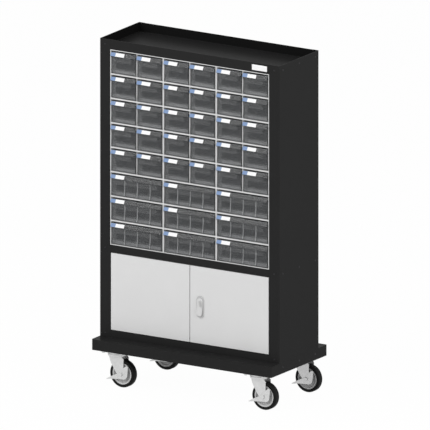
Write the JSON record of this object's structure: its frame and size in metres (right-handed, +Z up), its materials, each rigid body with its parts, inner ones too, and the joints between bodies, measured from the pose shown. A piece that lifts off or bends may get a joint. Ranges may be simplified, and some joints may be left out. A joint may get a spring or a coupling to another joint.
{
  "type": "mobile parts bin cabinet",
  "caption": "Black sheet-metal parts cabinet on brake casters: recessed top tray, rows of smoke-clear pull-out bins in moulded housings, and a two-door cupboard below.",
  "frame": {"origin": "on the floor under the middle of the base", "axes": "+X to the right of someone facing the doors, front faces -Y, +Z up"},
  "size_m": [0.9315, 0.466, 1.565],
  "materials": {
    "black_sheet": "satin black powder coat",
    "door_sheet": "light grey powder coat",
    "handle_zinc": "light grey painted zinc die casting",
    "housing_plastic": "light grey moulded polystyrene",
    "smoke_plastic": "smoke-tinted clear polystyrene",
    "caster_steel": "bright zinc-plated pressed steel",
    "caster_tyre": "black rubber on a grey moulded rim"
  },
  "bodies": {
    "cabinet": {"outer_panels": "black_sheet", "top_tray": "black_sheet", "decks": "black_sheet", "bin_housings": "housing_plastic", "base_chassis": "black_sheet", "caster_mounts": "caster_steel"},
    "door_left": {"door_left": "door_sheet"},
    "door_right": {"door_right": "door_sheet"},
    "door_handle": {"door_handle": "handle_zinc"},
    "caster_fork_front_left": {"caster_fork_front_left": "caster_steel"},
    "caster_wheel_front_left": {"caster_wheel_front_left": "caster_tyre"},
    "caster_brake_front_left": {"caster_brake_front_left": "caster_steel"},
    "caster_fork_front_right": {"caster_fork_front_right": "caster_steel"},
    "caster_wheel_front_right": {"caster_wheel_front_right": "caster_tyre"},
    "caster_brake_front_right": {"caster_brake_front_right": "caster_steel"},
    "caster_fork_rear_left": {"caster_fork_rear_left": "caster_steel"},
    "caster_wheel_rear_left": {"caster_wheel_rear_left": "caster_tyre"},
    "caster_brake_rear_left": {"caster_brake_rear_left": "caster_steel"},
    "caster_fork_rear_right": {"caster_fork_rear_right": "caster_steel"},
    "caster_wheel_rear_right": {"caster_wheel_rear_right": "caster_tyre"},
    "caster_brake_rear_right": {"caster_brake_rear_right": "caster_steel"},
    "small_bin_1_1": {"small_bin_1_1": "smoke_plastic"},
    "small_bin_1_2": {"small_bin_1_2": "smoke_plastic"},
    "small_bin_1_3": {"small_bin_1_3": "smoke_plastic"},
    "small_bin_1_4": {"small_bin_1_4": "smoke_plastic"},
    "small_bin_1_5": {"small_bin_1_5": "smoke_plastic"},
    "small_bin_1_6": {"small_bin_1_6": "smoke_plastic"},
    "small_bin_2_1": {"small_bin_2_1": "smoke_plastic"},
    "small_bin_2_2": {"small_bin_2_2": "smoke_plastic"},
    "small_bin_2_3": {"small_bin_2_3": "smoke_plastic"},
    "small_bin_2_4": {"small_bin_2_4": "smoke_plastic"},
    "small_bin_2_5": {"small_bin_2_5": "smoke_plastic"},
    "small_bin_2_6": {"small_bin_2_6": "smoke_plastic"},
    "small_bin_3_1": {"small_bin_3_1": "smoke_plastic"},
    "small_bin_3_2": {"small_bin_3_2": "smoke_plastic"},
    "small_bin_3_3": {"small_bin_3_3": "smoke_plastic"},
    "small_bin_3_4": {"small_bin_3_4": "smoke_plastic"},
    "small_bin_3_5": {"small_bin_3_5": "smoke_plastic"},
    "small_bin_3_6": {"small_bin_3_6": "smoke_plastic"},
    "small_bin_4_1": {"small_bin_4_1": "smoke_plastic"},
    "small_bin_4_2": {"small_bin_4_2": "smoke_plastic"},
    "small_bin_4_3": {"small_bin_4_3": "smoke_plastic"},
    "small_bin_4_4": {"small_bin_4_4": "smoke_plastic"},
    "small_bin_4_5": {"small_bin_4_5": "smoke_plastic"},
    "small_bin_4_6": {"small_bin_4_6": "smoke_plastic"},
    "small_bin_5_1": {"small_bin_5_1": "smoke_plastic"},
    "small_bin_5_2": {"small_bin_5_2": "smoke_plastic"},
    "small_bin_5_3": {"small_bin_5_3": "smoke_plastic"},
    "small_bin_5_4": {"small_bin_5_4": "smoke_plastic"},
    "small_bin_5_5": {"small_bin_5_5": "smoke_plastic"},
    "small_bin_5_6": {"small_bin_5_6": "smoke_plastic"},
    "wide_bin_6_1": {"wide_bin_6_1": "smoke_plastic"},
    "wide_bin_6_2": {"wide_bin_6_2": "smoke_plastic"},
    "wide_bin_6_3": {"wide_bin_6_3": "smoke_plastic"},
    "wide_bin_7_1": {"wide_bin_7_1": "smoke_plastic"},
    "wide_bin_7_2": {"wide_bin_7_2": "smoke_plastic"},
    "wide_bin_7_3": {"wide_bin_7_3": "smoke_plastic"},
    "wide_bin_8_1": {"wide_bin_8_1": "smoke_plastic"},
    "wide_bin_8_2": {"wide_bin_8_2": "smoke_plastic"},
    "wide_bin_8_3": {"wide_bin_8_3": "smoke_plastic"}
  },
  "joints": [
    {"name": "door_left_swing", "type": "hinge", "parent": "cabinet", "child": "door_left", "pos_m": [-0.3965, -0.1575, 0.247], "axis": [0, 0, -1], "range_deg": [0, 110]},
    {"name": "door_right_swing", "type": "hinge", "parent": "cabinet", "child": "door_right", "pos_m": [0.3965, -0.1575, 0.247], "axis": [0, 0, 1], "range_deg": [0, 110]},
    {"name": "handle_turn", "type": "hinge", "parent": "door_right", "child": "door_handle", "pos_m": [0.0555, -0.164, 0.4405], "axis": [0, -1, 0], "range_deg": [0, 90]},
    {"name": "swivel_front_left", "type": "hinge", "parent": "cabinet", "child": "caster_fork_front_left", "pos_m": [-0.368, -0.18, 0.15], "axis": [0, 0, 1], "continuous": true},
    {"name": "swivel_front_right", "type": "hinge", "parent": "cabinet", "child": "caster_fork_front_right", "pos_m": [0.368, -0.18, 0.15], "axis": [0, 0, 1], "continuous": true},
    {"name": "swivel_rear_left", "type": "hinge", "parent": "cabinet", "child": "caster_fork_rear_left", "pos_m": [-0.368, 0.18, 0.15], "axis": [0, 0, 1], "continuous": true},
    {"name": "swivel_rear_right", "type": "hinge", "parent": "cabinet", "child": "caster_fork_rear_right", "pos_m": [0.368, 0.18, 0.15], "axis": [0, 0, 1], "continuous": true},
    {"name": "roll_front_left", "type": "hinge", "parent": "caster_fork_front_left", "child": "caster_wheel_front_left", "pos_m": [-0.332, -0.18, 0.0625], "axis": [0, 1, 0], "continuous": true},
    {"name": "roll_front_right", "type": "hinge", "parent": "caster_fork_front_right", "child": "caster_wheel_front_right", "pos_m": [0.404, -0.18, 0.0625], "axis": [0, 1, 0], "continuous": true},
    {"name": "roll_rear_left", "type": "hinge", "parent": "caster_fork_rear_left", "child": "caster_wheel_rear_left", "pos_m": [-0.332, 0.18, 0.0625], "axis": [0, 1, 0], "continuous": true},
    {"name": "roll_rear_right", "type": "hinge", "parent": "caster_fork_rear_right", "child": "caster_wheel_rear_right", "pos_m": [0.404, 0.18, 0.0625], "axis": [0, 1, 0], "continuous": true},
    {"name": "brake_front_left", "type": "hinge", "parent": "caster_fork_front_left", "child": "caster_brake_front_left", "pos_m": [-0.332, -0.18, 0.0625], "axis": [0, -1, 0], "range_deg": [0, 12]},
    {"name": "brake_front_right", "type": "hinge", "parent": "caster_fork_front_right", "child": "caster_brake_front_right", "pos_m": [0.404, -0.18, 0.0625], "axis": [0, -1, 0], "range_deg": [0, 12]},
    {"name": "brake_rear_left", "type": "hinge", "parent": "caster_fork_rear_left", "child": "caster_brake_rear_left", "pos_m": [-0.332, 0.18, 0.0625], "axis": [0, -1, 0], "range_deg": [0, 12]},
    {"name": "brake_rear_right", "type": "hinge", "parent": "caster_fork_rear_right", "child": "caster_brake_rear_right", "pos_m": [0.404, 0.18, 0.0625], "axis": [0, -1, 0], "range_deg": [0, 12]},
    {"name": "small_bin_1_1_slide", "type": "slide", "parent": "cabinet", "child": "small_bin_1_1", "axis": [0, -1, 0], "range_m": [0, 0.2]},
    {"name": "small_bin_1_2_slide", "type": "slide", "parent": "cabinet", "child": "small_bin_1_2", "axis": [0, -1, 0], "range_m": [0, 0.2]},
    {"name": "small_bin_1_3_slide", "type": "slide", "parent": "cabinet", "child": "small_bin_1_3", "axis": [0, -1, 0], "range_m": [0, 0.2]},
    {"name": "small_bin_1_4_slide", "type": "slide", "parent": "cabinet", "child": "small_bin_1_4", "axis": [0, -1, 0], "range_m": [0, 0.2]},
    {"name": "small_bin_1_5_slide", "type": "slide", "parent": "cabinet", "child": "small_bin_1_5", "axis": [0, -1, 0], "range_m": [0, 0.2]},
    {"name": "small_bin_1_6_slide", "type": "slide", "parent": "cabinet", "child": "small_bin_1_6", "axis": [0, -1, 0], "range_m": [0, 0.2]},
    {"name": "small_bin_2_1_slide", "type": "slide", "parent": "cabinet", "child": "small_bin_2_1", "axis": [0, -1, 0], "range_m": [0, 0.2]},
    {"name": "small_bin_2_2_slide", "type": "slide", "parent": "cabinet", "child": "small_bin_2_2", "axis": [0, -1, 0], "range_m": [0, 0.2]},
    {"name": "small_bin_2_3_slide", "type": "slide", "parent": "cabinet", "child": "small_bin_2_3", "axis": [0, -1, 0], "range_m": [0, 0.2]},
    {"name": "small_bin_2_4_slide", "type": "slide", "parent": "cabinet", "child": "small_bin_2_4", "axis": [0, -1, 0], "range_m": [0, 0.2]},
    {"name": "small_bin_2_5_slide", "type": "slide", "parent": "cabinet", "child": "small_bin_2_5", "axis": [0, -1, 0], "range_m": [0, 0.2]},
    {"name": "small_bin_2_6_slide", "type": "slide", "parent": "cabinet", "child": "small_bin_2_6", "axis": [0, -1, 0], "range_m": [0, 0.2]},
    {"name": "small_bin_3_1_slide", "type": "slide", "parent": "cabinet", "child": "small_bin_3_1", "axis": [0, -1, 0], "range_m": [0, 0.2]},
    {"name": "small_bin_3_2_slide", "type": "slide", "parent": "cabinet", "child": "small_bin_3_2", "axis": [0, -1, 0], "range_m": [0, 0.2]},
    {"name": "small_bin_3_3_slide", "type": "slide", "parent": "cabinet", "child": "small_bin_3_3", "axis": [0, -1, 0], "range_m": [0, 0.2]},
    {"name": "small_bin_3_4_slide", "type": "slide", "parent": "cabinet", "child": "small_bin_3_4", "axis": [0, -1, 0], "range_m": [0, 0.2]},
    {"name": "small_bin_3_5_slide", "type": "slide", "parent": "cabinet", "child": "small_bin_3_5", "axis": [0, -1, 0], "range_m": [0, 0.2]},
    {"name": "small_bin_3_6_slide", "type": "slide", "parent": "cabinet", "child": "small_bin_3_6", "axis": [0, -1, 0], "range_m": [0, 0.2]},
    {"name": "small_bin_4_1_slide", "type": "slide", "parent": "cabinet", "child": "small_bin_4_1", "axis": [0, -1, 0], "range_m": [0, 0.2]},
    {"name": "small_bin_4_2_slide", "type": "slide", "parent": "cabinet", "child": "small_bin_4_2", "axis": [0, -1, 0], "range_m": [0, 0.2]},
    {"name": "small_bin_4_3_slide", "type": "slide", "parent": "cabinet", "child": "small_bin_4_3", "axis": [0, -1, 0], "range_m": [0, 0.2]},
    {"name": "small_bin_4_4_slide", "type": "slide", "parent": "cabinet", "child": "small_bin_4_4", "axis": [0, -1, 0], "range_m": [0, 0.2]},
    {"name": "small_bin_4_5_slide", "type": "slide", "parent": "cabinet", "child": "small_bin_4_5", "axis": [0, -1, 0], "range_m": [0, 0.2]},
    {"name": "small_bin_4_6_slide", "type": "slide", "parent": "cabinet", "child": "small_bin_4_6", "axis": [0, -1, 0], "range_m": [0, 0.2]},
    {"name": "small_bin_5_1_slide", "type": "slide", "parent": "cabinet", "child": "small_bin_5_1", "axis": [0, -1, 0], "range_m": [0, 0.2]},
    {"name": "small_bin_5_2_slide", "type": "slide", "parent": "cabinet", "child": "small_bin_5_2", "axis": [0, -1, 0], "range_m": [0, 0.2]},
    {"name": "small_bin_5_3_slide", "type": "slide", "parent": "cabinet", "child": "small_bin_5_3", "axis": [0, -1, 0], "range_m": [0, 0.2]},
    {"name": "small_bin_5_4_slide", "type": "slide", "parent": "cabinet", "child": "small_bin_5_4", "axis": [0, -1, 0], "range_m": [0, 0.2]},
    {"name": "small_bin_5_5_slide", "type": "slide", "parent": "cabinet", "child": "small_bin_5_5", "axis": [0, -1, 0], "range_m": [0, 0.2]},
    {"name": "small_bin_5_6_slide", "type": "slide", "parent": "cabinet", "child": "small_bin_5_6", "axis": [0, -1, 0], "range_m": [0, 0.2]},
    {"name": "wide_bin_6_1_slide", "type": "slide", "parent": "cabinet", "child": "wide_bin_6_1", "axis": [0, -1, 0], "range_m": [0, 0.2]},
    {"name": "wide_bin_6_2_slide", "type": "slide", "parent": "cabinet", "child": "wide_bin_6_2", "axis": [0, -1, 0], "range_m": [0, 0.2]},
    {"name": "wide_bin_6_3_slide", "type": "slide", "parent": "cabinet", "child": "wide_bin_6_3", "axis": [0, -1, 0], "range_m": [0, 0.2]},
    {"name": "wide_bin_7_1_slide", "type": "slide", "parent": "cabinet", "child": "wide_bin_7_1", "axis": [0, -1, 0], "range_m": [0, 0.2]},
    {"name": "wide_bin_7_2_slide", "type": "slide", "parent": "cabinet", "child": "wide_bin_7_2", "axis": [0, -1, 0], "range_m": [0, 0.2]},
    {"name": "wide_bin_7_3_slide", "type": "slide", "parent": "cabinet", "child": "wide_bin_7_3", "axis": [0, -1, 0], "range_m": [0, 0.2]},
    {"name": "wide_bin_8_1_slide", "type": "slide", "parent": "cabinet", "child": "wide_bin_8_1", "axis": [0, -1, 0], "range_m": [0, 0.2]},
    {"name": "wide_bin_8_2_slide", "type": "slide", "parent": "cabinet", "child": "wide_bin_8_2", "axis": [0, -1, 0], "range_m": [0, 0.2]},
    {"name": "wide_bin_8_3_slide", "type": "slide", "parent": "cabinet", "child": "wide_bin_8_3", "axis": [0, -1, 0], "range_m": [0, 0.2]}
  ]
}
